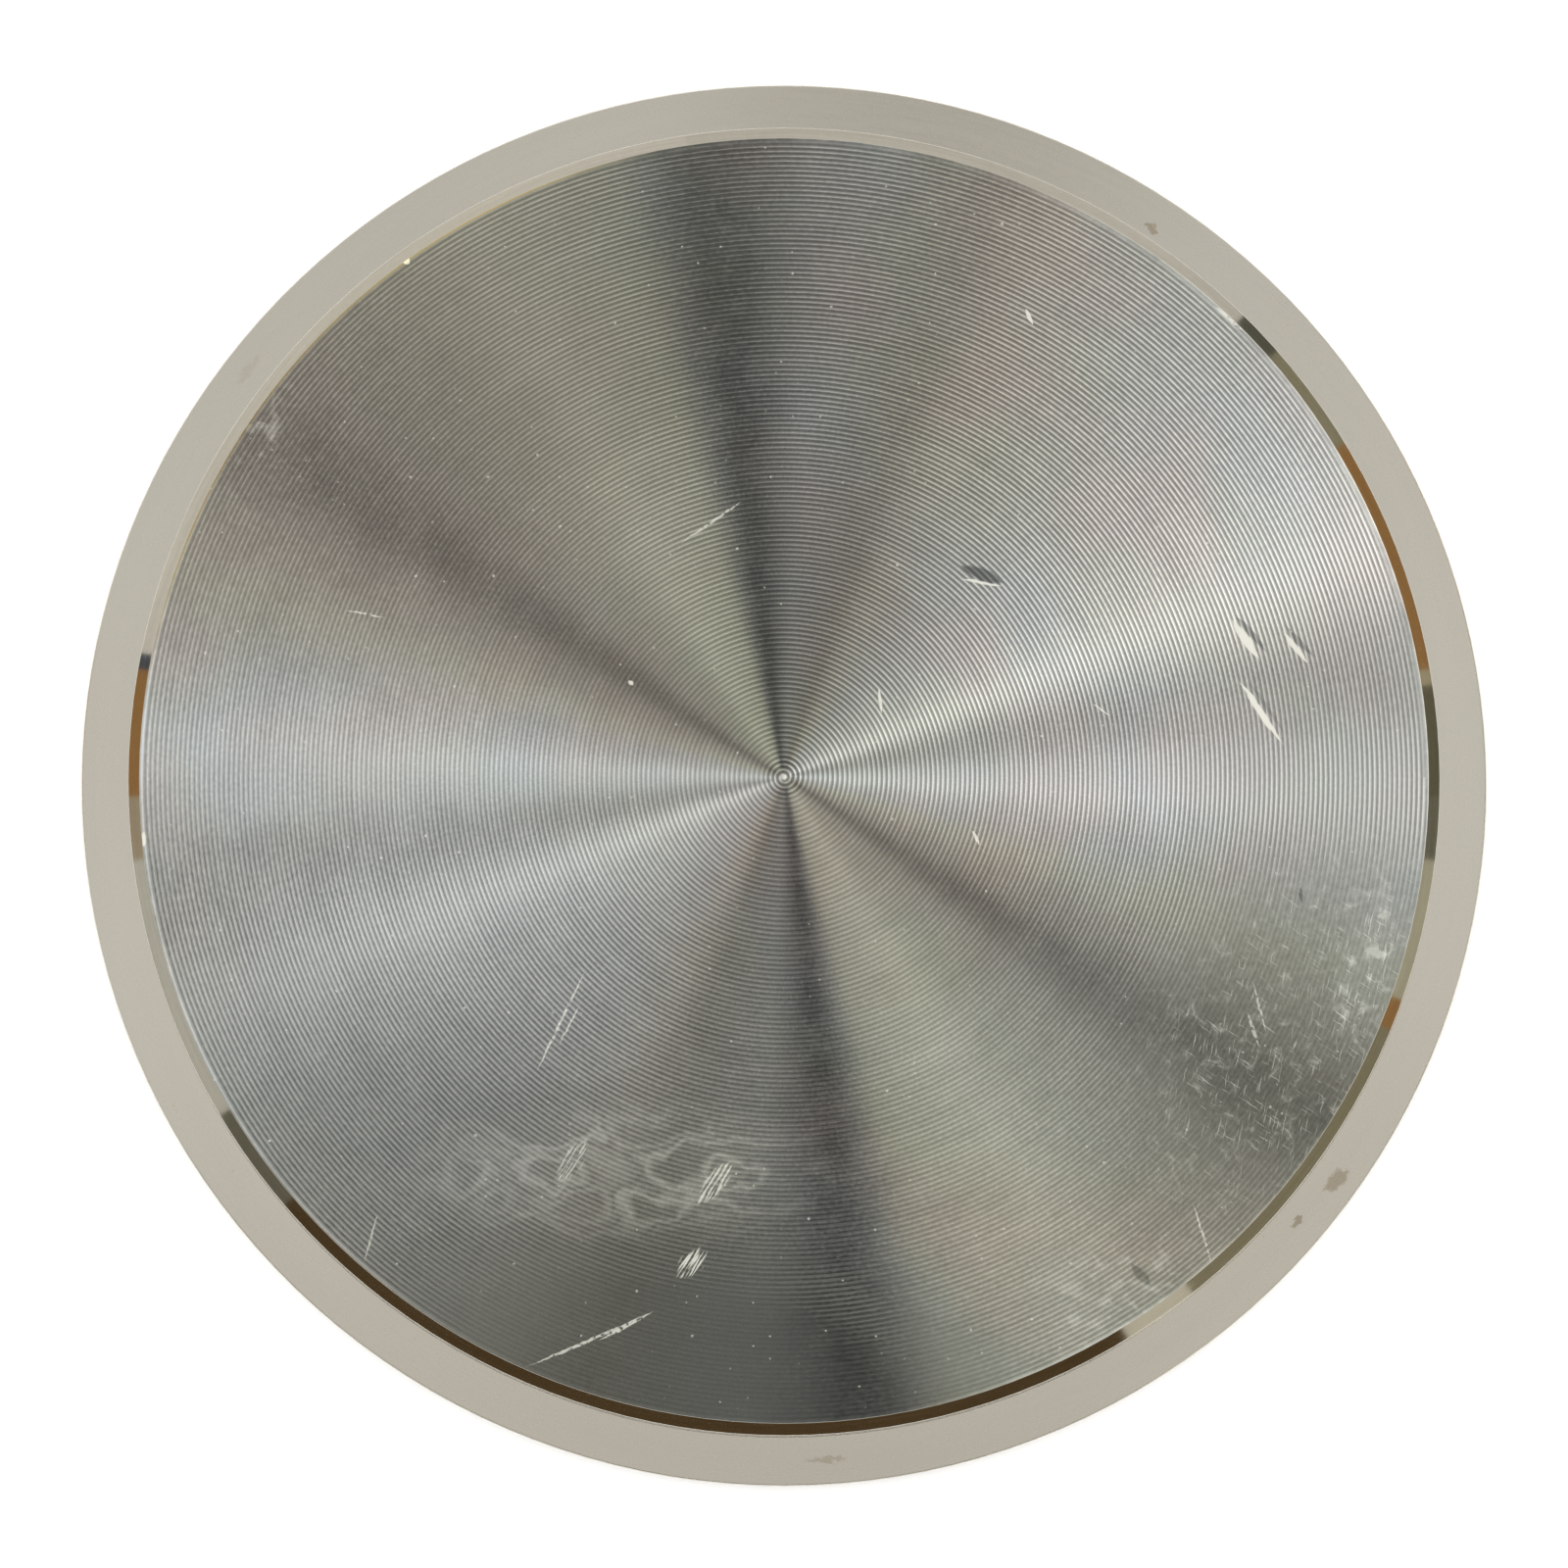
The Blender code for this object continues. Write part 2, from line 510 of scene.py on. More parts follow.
# %% Round the section's corners
ROUNDS = [
    (FACE_EDGE, EDGE_BREAK, 2),
    (CHAMFER_FOOT, 0.05 * MM, 2),
    (HUB_FOOT, 0.14 * MM, 5),
    (RIM_TOP, 0.14 * MM, 6),
    (RIM_FOOT, 0.35 * MM, 8),
    (GROOVE_LIPS[0], 0.15 * MM, 3),
    (GROOVE_FLOOR[0], 0.60 * MM, 6),
    (GROOVE_FLOOR[1], 0.60 * MM, 6),
    (GROOVE_LIPS[1], 0.15 * MM, 3),
]
for (radius, height), size, segments in ROUNDS:
    corner = min(section.verts, key=lambda v: (v.co - Vector((radius, 0, height))).length)
    bmesh.ops.bevel(
        section, geom=[corner], offset=size, offset_type="OFFSET", affect="VERTICES",
        segments=segments, profile=0.5, material=-1,
    )
print("points after rounding:", len(section.verts))

# %% [markdown]
# ## Turning the section
#
# `spin` sweeps the section once round the axis. The seam stays open for now, because the face
# still has to become a spiral.

# %% Spin it
TURN_SEGMENTS = 156
TINY = 0.0005 * MM
disc = section
swept = bmesh.ops.spin(
    disc, geom=disc.verts[:] + disc.edges[:], cent=(0, 0, 0), axis=(0, 0, 1), dvec=(0, 0, 0),
    angle=FULL_TURN, steps=TURN_SEGMENTS, use_merge=False, use_duplicate=False,
)
seam_end = {g for g in swept["geom_last"] if isinstance(g, bmesh.types.BMVert)}
print("swept points:", len(disc.verts), "at the seam's end:", len(seam_end))

# %% [markdown]
# ## From rings to one spiral
#
# The tool moves steadily outward while the disc turns, so its mark is one long spiral and not a
# set of rings. Each ring point is pushed outward by one feed per full turn. The end of a ring
# then meets the start of the fourth ring outside it. Only the first and the last ring stay round,
# so one edge beside each is cut in five, and merging doubles closes the seam.

# %% Shear the rings into a spiral and close the seam
def angle_of(point):
    """Angle round the axis from 0 to a full turn, with the seam's end at the full turn."""
    if point in seam_end:
        return FULL_TURN
    return math.atan2(point.co.y, point.co.x) % FULL_TURN


def on_spiral(point):
    """Whether a point of the face belongs to the rings that become the spiral."""
    radius = point.co.xy.length
    return point.co.z > THICKNESS - TINY and PIP_RADIUS + TINY < radius < last_ring + TINY


def gap_edge(side, inner, outer):
    """The seam edge between two radii, among the points of one side of the seam."""
    for edge in disc.edges:
        if all(v in side for v in edge.verts):
            radii = sorted(v.co.xy.length for v in edge.verts)
            spans_gap = abs(radii[0] - inner) < TINY and abs(radii[1] - outer) < TINY
            if spans_gap and edge.verts[0].co.z > THICKNESS / 2:
                return edge
    raise ValueError("the seam has no such edge")


seam_start = {v for v in disc.verts if v not in seam_end and abs(v.co.y) < TINY and v.co.x > 0}
spiral_points = [(v, angle_of(v)) for v in disc.verts if on_spiral(v)]
for point, angle in spiral_points:
    radius = point.co.xy.length
    point.co.xy *= (radius + FEED * angle / FULL_TURN) / radius
inner_gap = gap_edge(seam_end, PIP_RADIUS, PIP_RADIUS + RING_STEP + FEED)
outer_gap = gap_edge(seam_start, last_ring, last_ring + RING_STEP + FEED)
for gap in (inner_gap, outer_gap):
    bmesh.ops.bisect_edges(disc, edges=[gap], cuts=RINGS_PER_TURN)
bmesh.ops.remove_doubles(disc, verts=disc.verts[:], dist=TINY)
print("points:", len(disc.verts), "open edges:", sum(e.is_boundary for e in disc.edges))

# %% [markdown]
# ## Cutting the grooves
#
# A round-nosed tool leaves a row of shallow scallops with sharp crests between them. The height
# at a point depends only on where it lies between two crests, and that is its radius in feeds
# less its angle in turns. A little noise makes some turns cut deeper than others, as they do when
# the steel and the machine give. Two areas near the rim are caked with old residue, which fills
# the grooves most of the way, so there the scallops are shallower.

# %% Sink the scallops
SCALLOP_DEPTH = 0.030 * MM
SCALLOP_ROUNDNESS = 1.3
DEPTH_VARIATION = 0.12
NOISE_TURNS = 0.9
DULL_AREA = ((-6.0, -38.5), -0.15, 26.0, 10.0)
FILM_AREA = ((33.0, -15.5), 1.00, 17.0, 11.0)
FILLED_SHARE = 0.70
PATCH_SOFTNESS = 2.0
SPIRAL_RIM = FACE_RADIUS - FEED / 4


def share_inside(point, middle, angle, half_length, half_width):
    """1 at the middle of an oval area given in millimetres, falling to 0 at its edge."""
    offset = point.co.xy / MM - Vector(middle)
    along = offset.x * math.cos(angle) + offset.y * math.sin(angle)
    across = offset.y * math.cos(angle) - offset.x * math.sin(angle)
    return max(0.0, 1 - math.hypot(along / half_length, across / half_width))


def groove_depth(point):
    """Depth below the crests at a point of the face."""
    radius = point.co.xy.length
    angle = math.atan2(point.co.y, point.co.x) % FULL_TURN
    across = ((radius - PIP_RADIUS) / FEED - angle / FULL_TURN) % 1.0
    scallop = 1 - abs(2 * across - 1) ** SCALLOP_ROUNDNESS
    sideways = point.co.xy / HUB_RADIUS
    uneven = noise.noise(Vector((radius / FEED * NOISE_TURNS, *sideways)))
    filled = min(1.0, PATCH_SOFTNESS * max(share_inside(point, *area) for area in (DULL_AREA, FILM_AREA)))
    return SCALLOP_DEPTH * scallop * (1 + DEPTH_VARIATION * uneven) * (1 - FILLED_SHARE * filled)


for point in disc.verts:
    if point.co.z > THICKNESS - TINY and PIP_RADIUS - TINY < point.co.xy.length < SPIRAL_RIM:
        point.co.z -= groove_depth(point)
bmesh.ops.recalc_face_normals(disc, faces=disc.faces[:])
print("deepest scallop, mm:", SCALLOP_DEPTH / MM, "share filled by residue:", FILLED_SHARE)

# %% [markdown]
# ## One mesh, five finishes
#
# Each turned surface is its own material slot on the one solid. A face's slot follows from where
# it lies on the section.

# %% Sort the faces by finish
FINISHES = ["faced_spiral", "cut_chamfer", "clamp_flank", "rim_edge", "sealing_side"]
FACE_FLOOR = THICKNESS - 0.06 * MM
FACE_LIMIT = FACE_RADIUS - 0.02 * MM
CHAMFER_FLOOR = THICKNESS - CHAMFER - 0.01 * MM
FLANK_FLOOR = RIM_THICKNESS - 0.03 * MM
RIM_START = RIM_RADIUS - 0.1 * MM


def finish_of(face):
    """The slot of a mesh face, from where its middle lies on the section."""
    middle = face.calc_center_median()
    radius = middle.xy.length
    if middle.z > FACE_FLOOR and radius < FACE_LIMIT:
        return FINISHES.index("faced_spiral")
    if middle.z > CHAMFER_FLOOR:
        return FINISHES.index("cut_chamfer")
    if middle.z > FLANK_FLOOR:
        return FINISHES.index("clamp_flank")
    if radius > RIM_START:
        return FINISHES.index("rim_edge")
    return FINISHES.index("sealing_side")


for face in disc.faces:
    face.material_index = finish_of(face)
for index, name in enumerate(FINISHES):
    print(name, "faces:", sum(face.material_index == index for face in disc.faces))

# %% [markdown]
# The finished mesh is shaded smooth, but edges sharper than a few degrees stay crisp, so flats
# mirror like flats and the groove crests keep their bright line.

# %% Make the disc object
SHARP_ANGLE = math.radians(10)
disc_mesh = bpy.data.meshes.new("turned_disc")
disc.to_mesh(disc_mesh)
disc.free()
disc_mesh.shade_smooth()
disc_mesh.set_sharp_from_angle(angle=SHARP_ANGLE)
turned_disc = bpy.data.objects.new("turned_disc", disc_mesh)
bpy.context.scene.collection.objects.link(turned_disc)
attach(turned_disc, "root")
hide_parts(DISC)
print("triangles:", sum(len(p.vertices) - 2 for p in disc_mesh.polygons))

# %% [markdown]
# ## Finishes
#
# All five are the same bare stainless steel. They differ in how the tool left them: how rough,
# how directional, and how bright. Turned metal varies along thin arcs round the axis, so most of
# the detail is noise in coordinates that are stretched that way.

# %% Shared steel helpers
STEEL = (0.56, 0.535, 0.475)
MM_PER_METRE = 1000


def steel_material(name, roughness):
    """A bare steel material: its tree, its shader, and the flat position in millimetres."""
    material = bpy.data.materials.new(name)
    material.use_nodes = True
    disc_mesh.materials.append(material)
    tree = material.node_tree
    shader = tree.nodes["Principled BSDF"]
    shader.inputs["Base Color"].default_value = (*STEEL, 1)
    shader.inputs["Metallic"].default_value = 1.0
    shader.inputs["Roughness"].default_value = roughness
    coordinates = node(tree, "ShaderNodeTexCoord", output="Object")
    flat = vector_math(tree, "MULTIPLY", {0: coordinates, 1: (MM_PER_METRE, MM_PER_METRE, 0)})
    return tree, shader, flat


def noise_at(tree, vector, scale, detail=2.0):
    """Noise about 0, with most of it between -0.25 and 0.25."""
    sockets = {"Vector": vector, "Scale": scale, "Detail": detail}
    return node(tree, "ShaderNodeTexNoise", {}, sockets, "Fac") - 0.5


def streaks(tree, flat, along, across):
    """Noise drawn out round the axis. It changes across times per millimetre of radius."""
    direction = vector_math(tree, "NORMALIZE", {0: flat})
    ring = vector_math(tree, "SCALE", {0: direction, "Scale": along})
    radius = vector_math(tree, "LENGTH", {0: flat}, "Value")
    height = node(tree, "ShaderNodeCombineXYZ", {}, {"Z": radius * across})
    place = vector_math(tree, "ADD", {0: ring, 1: height})
    return noise_at(tree, place, 1.0)


def shaded(tree, colour, factor):
    """A colour times a number."""
    return vector_math(tree, "SCALE", {0: colour, "Scale": factor})


def mixed(tree, factor, first, second):
    """The first colour where the factor is 0, the second where it is 1."""
    return node(tree, "ShaderNodeMix", {"data_type": "RGBA"}, {0: factor, 6: first, 7: second}, 2)


def wire(tree, shader, **signals):
    """Links signals to the shader's inputs; underscores stand for the spaces in their names."""
    for name, signal in signals.items():
        tree.links.new(signal.socket, shader.inputs[name.replace("_", " ")])


def bumped(tree, height):
    """A normal from a height in millimetres."""
    return node(tree, "ShaderNodeBump", {}, {"Height": height, "Strength": 1.0, "Distance": MM})


# %% [markdown]
# Scratches and nicks are pointed marks. Each one is a mapping that makes the mark a unit lens, so
# one short sum tells the inside from the outside. The position is shaken a little first, because
# nothing slides along a groove field in a clean line.

# %% Marks and patches
MARK_SHARPNESS = 2.5
HAIR_SHARPNESS = 12


def shaken(tree, flat, scale, amount):
    """The position moved about by noise, by up to about half the amount in millimetres."""
    colour = node(tree, "ShaderNodeTexNoise", {}, {"Vector": flat, "Scale": scale, "Detail": 2.0}, "Color")
    centred = vector_math(tree, "SUBTRACT", {0: colour, 1: (0.5, 0.5, 0.5)})
    shift = vector_math(tree, "SCALE", {0: centred, "Scale": amount})
    return vector_math(tree, "ADD", {0: flat, 1: shift})


def placed(tree, flat, middle, angle, half_length, half_width):
    """Coordinates in which an oval area becomes the unit circle."""
    sockets = {
        "Vector": flat,
        "Location": (*middle, 0),
        "Rotation": (0, 0, angle),
        "Scale": (half_length, half_width, 1),
    }
    return node(tree, "ShaderNodeMapping", {"vector_type": "TEXTURE"}, sockets)


def pointed_mark(tree, flat, start, end, width):
    """1 inside a lens from start to end, 0 outside."""
    run = Vector(end) - Vector(start)
    middle = (Vector(end) + Vector(start)) / 2
    local = placed(tree, flat, middle, math.atan2(run.y, run.x), run.length / 2, width / 2)
    along = node(tree, "ShaderNodeSeparateXYZ", {}, {0: local}, "X")
    across = node(tree, "ShaderNodeSeparateXYZ", {}, {0: local}, "Y")
    return ((1 - along * along - across.size()) * MARK_SHARPNESS).clamped()


def patch(tree, flat, middle, angle, half_length, half_width):
    """1 in the middle of an oval area, falling softly to 0 at its edge."""
    local = placed(tree, flat, middle, angle, half_length, half_width)
    distance = vector_math(tree, "LENGTH", {0: local}, "Value")
    return ((1 - distance) * PATCH_SOFTNESS).clamped()


def any_patch(tree, flat, areas):
    """1 in the middle of any of several oval areas."""
    total = patch(tree, flat, *areas[0])
    for area in areas[1:]:
        total = total.strongest(patch(tree, flat, *area))
    return total


def weighed_patches(tree, flat, areas):
    """The sum of several oval areas, each times its own strength."""
    return sum(patch(tree, flat, *area) * strength for *area, strength in areas)


def hairs(tree, flat, angle, length, width, sparseness):
    """A scatter of short fine streaks that all run one way."""
    local = placed(tree, flat, (0, 0), angle, length, width)
    return noise_at(tree, local, scale=1.0, detail=1.0).above(sparseness, HAIR_SHARPNESS)


def all_marks(tree, flat, marks):
    """The strongest of several pointed marks."""
    total = 0.0
    for start, end, width, strength in marks:
        mark = pointed_mark(tree, flat, start, end, width) * strength
        total = mark.strongest(total)
    return total

# %% [markdown]
# ## The faced spiral
#
# The tool's spiral is real geometry, so its finish only has to behave like freshly cut steel: a
# glint stays sharp along a groove and spreads wide across it. One anisotropic shader does that.
# The crests get a painted highlight and the valleys painted shade, which makes the turns stand out
# one by one. Both are stronger near the centre, and both use the sum that placed the grooves, shifted a
# little.

# %% Face: crests, valleys and grain
FACE_ROUGHNESS = 0.13
# Painted highlight on the crests and painted shade in the valleys, both stronger near the centre.
VALLEY_PAINTED_SHADE = 0.72
CREST_PAINTED_HIGHLIGHT = 1.56
PAINTED_SHADE_SHIFT = 0.07
CENTRE_RADIUS = 1.40
CENTRE_PAINTED_SHADE = 0.65
CENTRE_PAINTED_HIGHLIGHT = 0.35
GRAIN = 0.42
TURN_TO_TURN = 0.22
CLOUDS = 0.20

face_tree, face_shader, face_flat = steel_material("faced_spiral", FACE_ROUGHNESS)
face_shader.inputs["Anisotropic"].default_value = 1.0
face_shader.inputs["Anisotropic Rotation"].default_value = 0.25
face_radius = vector_math(face_tree, "LENGTH", {0: face_flat}, "Value")
turns_out = (face_radius - PIP_RADIUS / MM) / (FEED / MM) - share_of_turn(face_tree, face_flat)
phase = (turns_out - PAINTED_SHADE_SHIFT).fraction()
valley_shade = phase * (1 - phase) * 4
in_centre = (CENTRE_RADIUS - face_radius).above(0, sharpness=4)
grain = streaks(face_tree, face_flat, along=110, across=4.5)
turn_to_turn = streaks(face_tree, face_flat, along=3, across=2.2)
clouds = noise_at(face_tree, face_flat, scale=0.35, detail=4.0)
# Painted crest highlight less painted valley shade, then times random tone.
painted_light_and_tone = CREST_PAINTED_HIGHLIGHT + in_centre * CENTRE_PAINTED_HIGHLIGHT - valley_shade * (VALLEY_PAINTED_SHADE + in_centre * CENTRE_PAINTED_SHADE)
painted_light_and_tone = painted_light_and_tone * (1 + grain * GRAIN + turn_to_turn * TURN_TO_TURN + clouds * CLOUDS)
print("turns from pip to edge:", round((FACE_RADIUS - PIP_RADIUS) / FEED, 1))

# %% [markdown]
# Turned steel is never one grey. A warm tool shifts its colour a little, the darker green patches are
# partly an oil film and partly painted shade, the brightness patches are painted light and painted
# shade, and a painted glint runs along the burr at the face's edge. These casts are broad and soft, so
# each one is a list of oval areas, given by middle in millimetres, angle, half length and half width,
# and last by strength where that differs. Noise fills in between them.

# %% Face: colour casts
ROSE_STEEL = (0.580, 0.533, 0.472, 1)
MOSS_STEEL = (0.553, 0.548, 0.460, 1)
BLUE_STEEL = (0.545, 0.545, 0.500, 1)
OIL_AND_SHADE_STEEL = (0.335, 0.345, 0.290, 1)
DULL_STEEL = (0.500, 0.505, 0.445, 1)
COLD_AREAS = [
    ((-22.0, -15.0), 0.0, 24.0, 20.0),
    ((20.0, -17.0), 0.0, 16.0, 13.0),
]
ROSY_AREAS = [
    ((-25.0, 24.0), 0.80, 20.0, 26.0),
    ((28.4, 1.5), 0.0, 8.0, 5.0),
]
# Painted light where a strength is above zero, painted shade where it is below.
PAINTED_LIGHT_AND_SHADE_AREAS = [
    ((12.0, -27.0), 1.90, 22.0, 11.0, 0.13),
    ((-30.0, -1.0), 0.0, 22.0, 11.0, 0.15),
    ((-5.0, -14.0), 1.57, 17.0, 11.0, 0.09),
    ((-17.0, 30.0), 0.52, 22.0, 19.0, -0.19),
]
# Darker patches, partly painted shade and partly an oil film.
OIL_AND_PAINTED_SHADE_AREAS = [
    ((-18.0, -31.0), 2.62, 34.0, 15.0, 0.42),
    ((-13.0, 32.0), 0.52, 20.0, 16.0, 0.30),
    ((37.0, -3.0), 1.57, 15.0, 13.0, 0.26),
    ((-2.0, 10.0), 0.0, 16.0, 12.0, 0.22),
]
BURR_GLINT_WIDTH = 0.28
BURR_PAINTED_GLINT = 0.45
DULL_COVER = 0.80

cold = any_patch(face_tree, face_flat, COLD_AREAS)
rosy = noise_at(face_tree, face_flat, scale=0.09, detail=1.0).above(-0.07, sharpness=5) * (1 - cold)
rosy = rosy.strongest(any_patch(face_tree, face_flat, ROSY_AREAS))
bluish = noise_at(face_tree, face_flat, scale=0.07, detail=1.0).above(-0.125, sharpness=4)
bluish = bluish.strongest(cold)
steel = mixed(face_tree, rosy, mixed(face_tree, bluish, MOSS_STEEL, BLUE_STEEL), ROSE_STEEL)
# A painted glint along the burr at the face's edge.
painted_burr_glint = face_radius.above(FACE_RADIUS / MM - BURR_GLINT_WIDTH, sharpness=8) * (clouds * 3 + 0.7).clamped()
painted_light_and_shade = weighed_patches(face_tree, face_flat, PAINTED_LIGHT_AND_SHADE_AREAS)
steel = shaded(face_tree, steel, painted_light_and_tone * (1 + painted_light_and_shade) + painted_burr_glint * BURR_PAINTED_GLINT)
steel = mixed(face_tree, patch(face_tree, face_flat, *DULL_AREA) * DULL_COVER, steel, DULL_STEEL)
steel = mixed(face_tree, weighed_patches(face_tree, face_flat, OIL_AND_PAINTED_SHADE_AREAS), steel, OIL_AND_SHADE_STEEL)
print("colour casts:", len(COLD_AREAS + ROSY_AREAS + PAINTED_LIGHT_AND_SHADE_AREAS + OIL_AND_PAINTED_SHADE_AREAS))

# %% [markdown]
# Old handling left nicks and scratches. They are too shallow to change the outline, and each one
# shows as bare torn metal that scatters light, often with a painted shadow on its dark side. So they
# are marks in the finish. Scuffs are a bundle of short hairs inside a mark. Each mark is its start and end
# in millimetres, its width and its strength.

# %% Face: nicks, scratches and scuffs
NICKS = [
    ((28.8, 10.3), (30.7, 7.5), 0.70, 1.0),
    ((32.1, 9.5), (33.8, 7.3), 0.45, 0.9),
    ((29.3, 6.3), (32.2, 2.0), 0.50, 1.0),
    ((6.1, 5.9), (6.3, 4.0), 0.25, 0.8),
    ((11.2, 12.9), (14.2, 12.3), 0.24, 0.8),
    ((12.1, -3.4), (12.6, -4.4), 0.25, 0.8),
    ((15.6, 30.4), (16.1, 29.3), 0.35, 0.8),
    ((-24.6, 33.3), (-24.2, 33.7), 0.60, 1.0),
    ((-41.2, -3.5), (-41.3, -4.6), 0.50, 1.0),
    ((-10.0, 6.3), (-9.8, 5.9), 0.35, 0.7),
    ((19.8, 4.8), (21.1, 3.9), 0.16, 0.6),
]
SCRATCHES = [
    ((-6.9, 15.0), (-2.5, 18.0), 0.26, 0.7),
    ((-16.1, -19.4), (-12.6, -12.1), 0.22, 0.6),
    ((-14.6, -17.5), (-12.9, -14.2), 0.16, 0.5),
    ((-16.7, -38.0), (-8.5, -34.5), 0.24, 0.8),
    ((-12.0, -36.3), (-8.3, -34.3), 0.30, 0.9),
    ((29.7, -15.0), (30.6, -17.5), 0.28, 0.6),
    ((30.1, -13.0), (31.0, -16.6), 0.18, 0.6),
    ((26.2, -27.3), (27.5, -31.4), 0.20, 0.6),
    ((-27.0, -31.4), (-26.0, -27.9), 0.18, 0.5),
    ((-28.4, 10.8), (-25.6, 10.3), 0.16, 0.7),
    ((27.6, 30.7), (29.9, 28.8), 0.30, 0.8),
]
# Painted shadows on the dark side of the nicks.
NICK_PAINTED_SHADOWS = [
    ((11.3, 13.7), (14.3, 12.5), 1.00, 0.75),
    ((29.0, 10.6), (31.2, 8.0), 0.50, 0.6),
    ((32.2, 9.9), (34.2, 7.7), 0.45, 0.5),
    ((29.9, 6.3), (32.4, 2.6), 0.30, 0.3),
    ((22.2, -31.2), (23.6, -32.8), 0.80, 0.5),
    ((33.2, -7.0), (33.3, -8.2), 0.35, 0.6),
]
SCUFFS = [
    ((-6.9, -32.3), (-4.9, -30.2), 1.60, 1.0),
    ((-5.6, -27.6), (-3.2, -24.6), 1.50, 0.7),
    ((-14.6, -26.2), (-12.6, -23.2), 1.60, 0.5),
]
PIP_GLINT_RADIUS = 0.28
SCRATCH_SHINE = 0.75
SCUFF_SHINE = 0.80

marked = shaken(face_tree, face_flat, scale=1.6, amount=0.22)
rubbed = (noise_at(face_tree, face_flat, scale=3.0) * 6 + 1.0).clamped()
# A painted glint at the pip, laid in with the nicks so it gets the bare metal's colour and roughness.
pip_glint = (1 - face_radius / PIP_GLINT_RADIUS).clamped()
nicks = all_marks(face_tree, marked, NICKS).strongest(pip_glint)
scuff_hairs = hairs(face_tree, face_flat, angle=1.0, length=1.8, width=0.14, sparseness=-0.02)
scuffs = all_marks(face_tree, marked, SCUFFS) * scuff_hairs
scratches = all_marks(face_tree, marked, SCRATCHES) * rubbed
nick_painted_shadows = all_marks(face_tree, marked, NICK_PAINTED_SHADOWS)
bare = nicks.strongest(scratches * SCRATCH_SHINE + scuffs * SCUFF_SHINE)
print("nicks, scratches and scuffs:", len(NICKS + SCRATCHES + NICK_PAINTED_SHADOWS + SCUFFS))

# %% [markdown]
# A liquid was once wiped over the lower part of the face and dried in loops. Contour lines of a
# slow noise make such loops: they are where the noise crosses a level. Near the edge the film is
# thicker. It has cracked and crumbled into short hairs, blotches and specks.

# %% Face: wiped loops and dry film
FILM = (0.425, 0.432, 0.372)
FILM_COVER = 0.75
WIPED_AREA = ((-10.4, -25.4), 0.0, 14.5, 5.0)
CRUST_AREA = ((37.7, -12.0), 1.27, 5.5, 2.6)
CRUMB_AREAS = [
    ((21.5, -33.0), 0.5, 6.0, 4.0, 0.25),
    ((-33.4, 22.7), 1.0, 3.5, 1.8, 0.25),
]
LOOP_SHARPNESS = 15
LOOP_CHALK = 0.22
WIPE_HAZE = 0.05
SECOND_LOOP_LEVEL = 0.13
SECOND_LOOP_SHARE = 0.6
CRACK_SHARPNESS = 14
CRACK_CHALK = 0.26
HAIR_CHALK = 0.42
BLOTCH_CHALK = 0.08
CRUST_BLOTCHES = 0.38
CRUST_HAIRS = 0.30
CRUST_HAZE = 0.10
SPECK_CHALK = 0.5
MOTTLING = 0.8

smeared = shaken(face_tree, face_flat, scale=0.35, amount=3.0)
wiped_place = placed(face_tree, smeared, (0, 0), angle=-0.12, half_length=1.9, half_width=1.0)
contours = noise_at(face_tree, wiped_place, scale=0.36, detail=0.0)
loops = (1 - contours.size() * LOOP_SHARPNESS).clamped()
second_loops = (1 - (contours - SECOND_LOOP_LEVEL).size() * LOOP_SHARPNESS).clamped()
loops = loops + second_loops * SECOND_LOOP_SHARE
wiped = patch(face_tree, face_flat, *WIPED_AREA) * (loops * LOOP_CHALK + WIPE_HAZE)

voronoi = {"Vector": smeared, "Scale": 0.60}
edges = node(face_tree, "ShaderNodeTexVoronoi", {"feature": "DISTANCE_TO_EDGE"}, voronoi, "Distance")
cracks = (1 - edges * CRACK_SHARPNESS).clamped()
steep_hairs = hairs(face_tree, marked, angle=1.35, length=1.7, width=0.11, sparseness=0.13)
low_hairs = hairs(face_tree, marked, angle=-0.6, length=1.7, width=0.11, sparseness=0.15)
fine_hairs = steep_hairs.strongest(low_hairs)
blotches = noise_at(face_tree, smeared, scale=0.9, detail=5.0).above(0.02, sharpness=7)
specks = noise_at(face_tree, face_flat, scale=2.8, detail=0.0).above(0.31, sharpness=14)
film_area = patch(face_tree, face_flat, *FILM_AREA)
film = cracks * blotches * CRACK_CHALK + fine_hairs * HAIR_CHALK + blotches * BLOTCH_CHALK
film = film_area * film
crust = blotches * CRUST_BLOTCHES + fine_hairs * CRUST_HAIRS + CRUST_HAZE
crust = patch(face_tree, face_flat, *CRUST_AREA) * crust
crumbs = weighed_patches(face_tree, face_flat, CRUMB_AREAS) * blotches
chalk = (wiped + film + crumbs + crust + specks * SPECK_CHALK).clamped()
mottling = noise_at(face_tree, face_flat, scale=2.2, detail=5.0)
film_colour = shaded(face_tree, FILM, 1 + mottling * MOTTLING)
steel = mixed(face_tree, film_area * FILM_COVER, steel, film_colour)
print("areas with crumbs:", len(CRUMB_AREAS), "nodes so far:", len(face_tree.nodes))

# %% [markdown]
# The layers now go over one another in the order they came: painted shadows beside the nicks, chalky
# residue, then bare metal and the pip's painted glint over both, and a honey-coloured line along the face's
# edge on the upper left.
# Chalk is no metal, so wherever it lies the finish is rougher and less metallic. Torn metal also
# loses its mirror: its facets point everywhere, which looks more like matt paint.

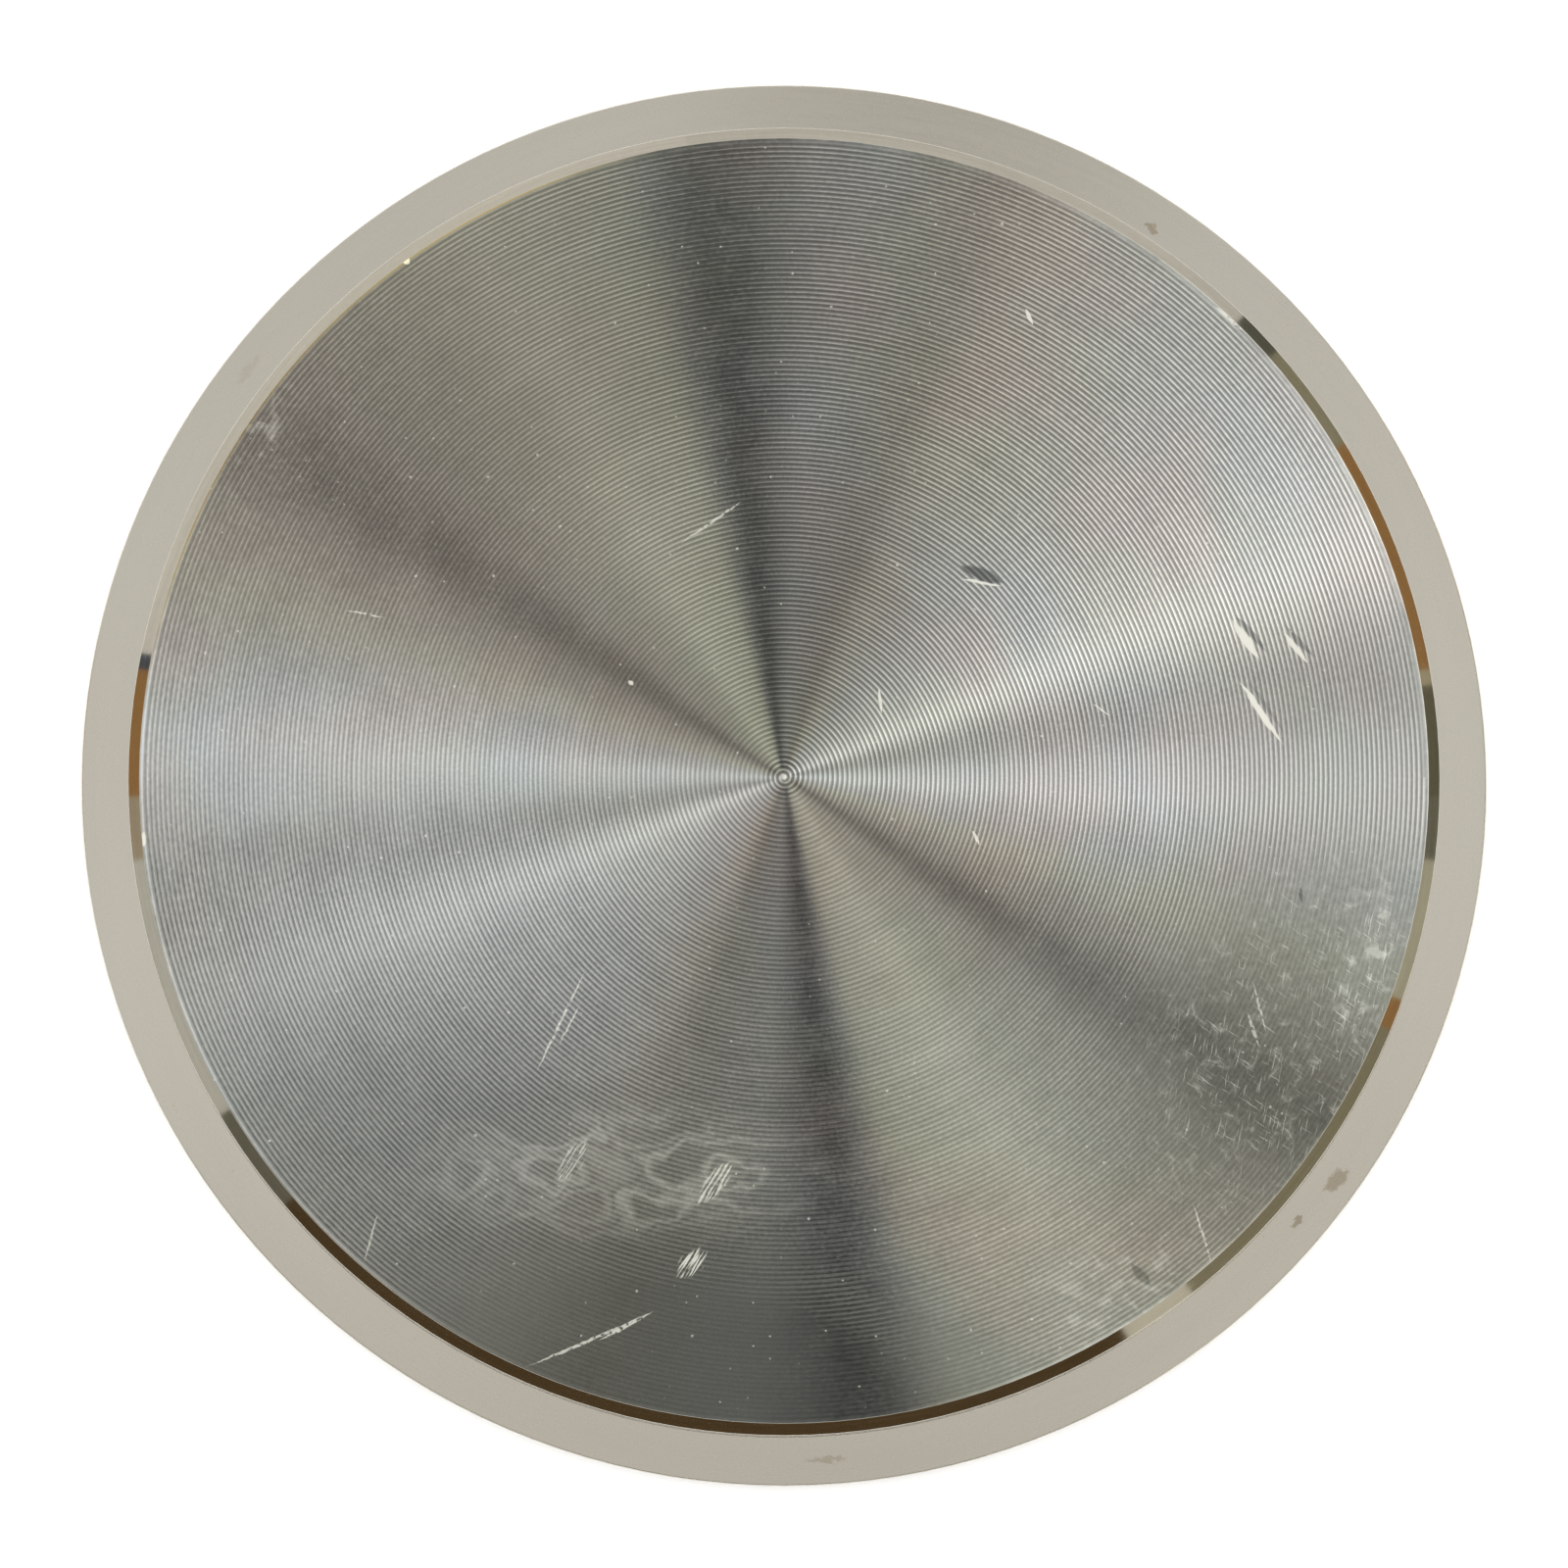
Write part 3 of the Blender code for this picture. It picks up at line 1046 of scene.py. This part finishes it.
# %% Face: put the layers together
RAW_STEEL = (0.56, 0.555, 0.50, 1)
PAINTED_SHADOW_STEEL = (0.13, 0.135, 0.12, 1)
CHALK = (0.66, 0.67, 0.60, 1)
GOLDEN_EDGE = (0.86, 0.69, 0.39, 1)
GOLDEN_EDGE_COVER = 0.85
EDGE_LINE_WIDTH = 0.20
EDGE_LINE_AREA = ((-30.0, 28.0), 0.82, 32.0, 12.0)
GRAIN_HEIGHT = 0.0006
GRAIN_ROUGHNESS = 0.10
CLOUD_ROUGHNESS = 0.08
CHALK_ROUGHNESS = 0.30
BARE_ROUGHNESS = 0.35
CHALK_NOT_METAL = 0.45
BARE_NOT_METAL = 0.85

# Painted shadows beside the nicks go down first.
steel = mixed(face_tree, nick_painted_shadows, steel, PAINTED_SHADOW_STEEL)
steel = mixed(face_tree, chalk, steel, CHALK)
steel = mixed(face_tree, bare, steel, RAW_STEEL)
# A golden line along the face's edge on the upper left.
edge_line = face_radius.above(FACE_RADIUS / MM - EDGE_LINE_WIDTH, sharpness=12)
edge_line = edge_line * patch(face_tree, face_flat, *EDGE_LINE_AREA)
steel = mixed(face_tree, edge_line * GOLDEN_EDGE_COVER, steel, GOLDEN_EDGE)
roughness = FACE_ROUGHNESS + grain * GRAIN_ROUGHNESS + clouds * CLOUD_ROUGHNESS
roughness = roughness + chalk * CHALK_ROUGHNESS + bare * BARE_ROUGHNESS
metal = (1 - chalk * CHALK_NOT_METAL - bare * BARE_NOT_METAL).clamped()
relief = bumped(face_tree, grain * GRAIN_HEIGHT)
wire(face_tree, face_shader, Base_Color=steel, Roughness=roughness.clamped(), Metallic=metal, Normal=relief)
print("nodes in the face's finish:", len(face_tree.nodes))

# %% [markdown]
# ## Chamfer, flank, rim and sealing side
#
# The chamfer is a fresh bright cut. The flank is finer and satin, with faint streaks round it, a
# scatter of pits and a few brown water stains. The rim and the sealing side are plain turned
# faces. One function makes all four, and the flank's stains are laid over its steel.

# %% Pits and water stains
STAIN = (0.30, 0.24, 0.16, 1)
STAINS = [
    ((32.7, -28.9), (33.4, -28.1), 0.60, 0.7),
    ((34.7, -26.6), (36.5, -25.1), 1.10, 0.6),
    ((23.4, 36.3), (24.4, 35.6), 0.70, 0.6),
    ((1.0, -43.9), (4.2, -43.7), 0.40, 0.4),
    ((-35.5, 25.7), (-33.9, 27.9), 0.80, 0.15),
]
PIT_STRENGTH = 0.35


def water_stained(tree, flat, steel):
    """The steel with brown stains and small pits laid over it."""
    stains = all_marks(tree, shaken(tree, flat, scale=3.0, amount=0.8), STAINS)
    pits = noise_at(tree, flat, scale=2.6, detail=1.0).above(0.27, sharpness=14) * PIT_STRENGTH
    return mixed(tree, stains.strongest(pits), steel, STAIN)


print("stains:", len(STAINS))

# %% The other four finishes
BROAD_STREAK_SPAN = 5
STREAK_ROUGHNESS = 0.12
SPECKLE_ROUGHNESS = 0.06


def turned_finish(name, roughness, streak_density, contrast, depth, cover=None):
    """A turned surface with streaks round the axis, and what covers it, if anything does."""
    tree, shader, flat = steel_material(name, roughness)
    fine = streaks(tree, flat, along=8, across=streak_density)
    broad = streaks(tree, flat, along=2, across=streak_density / BROAD_STREAK_SPAN)
    speckle = noise_at(tree, flat, scale=2.0, detail=3.0)
    steel = shaded(tree, STEEL, 1 + (fine + broad + speckle / 2) * contrast)
    if cover:
        steel = cover(tree, flat, steel)
    uneven = (roughness + fine * STREAK_ROUGHNESS + speckle * SPECKLE_ROUGHNESS).clamped()
    wire(tree, shader, Base_Color=steel, Roughness=uneven, Normal=bumped(tree, fine * depth))


turned_finish("cut_chamfer", 0.09, streak_density=6.0, contrast=0.20, depth=0.0006)
turned_finish("clamp_flank", 0.28, streak_density=3.0, contrast=0.06, depth=0.0008, cover=water_stained)
turned_finish("rim_edge", 0.25, streak_density=4.0, contrast=0.15, depth=0.0010)
turned_finish("sealing_side", 0.22, streak_density=5.0, contrast=0.25, depth=0.0030)
print("finishes:", [material.name for material in disc_mesh.materials])
